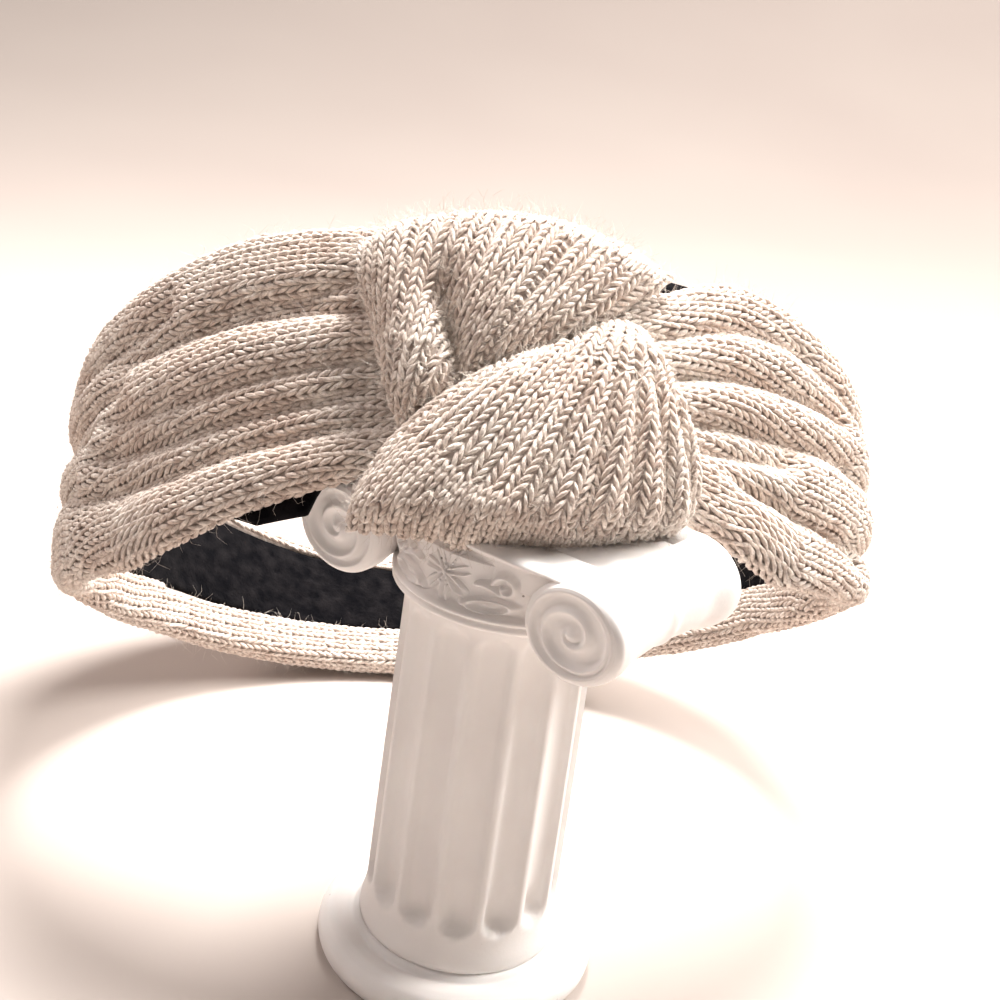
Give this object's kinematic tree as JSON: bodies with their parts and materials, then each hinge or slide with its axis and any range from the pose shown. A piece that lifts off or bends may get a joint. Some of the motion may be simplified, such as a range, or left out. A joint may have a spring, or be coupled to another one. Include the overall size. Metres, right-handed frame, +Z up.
{
  "type": "ear warmer headband on a column stand",
  "caption": "Wide knit ear warmer headband with a fleece lining and a turban knot in front, resting tilted on a small fluted column stand with scrolled capital.",
  "frame": {"origin": "centre of the flat underside of the stand's base, on the surface it stands on", "axes": "+Z up, -Y towards the side that the knot faces, +X to the right as seen from in front of the knot"},
  "size_m": [0.1823, 0.1752, 0.1443],
  "materials": {
    "marled_knit": "soft marled wool stockinette with a light halo",
    "black_fleece": "black brushed fleece",
    "white_plaster": "matte cast plaster"
  },
  "bodies": {
    "root": {"knit_band": "marled_knit", "knot_upper_loop": "marled_knit", "knot_lower_loop": "marled_knit", "fleece_lining": "black_fleece", "stand_base": "white_plaster", "stand_shaft": "white_plaster", "stand_capital": "white_plaster"}
  },
  "joints": []
}
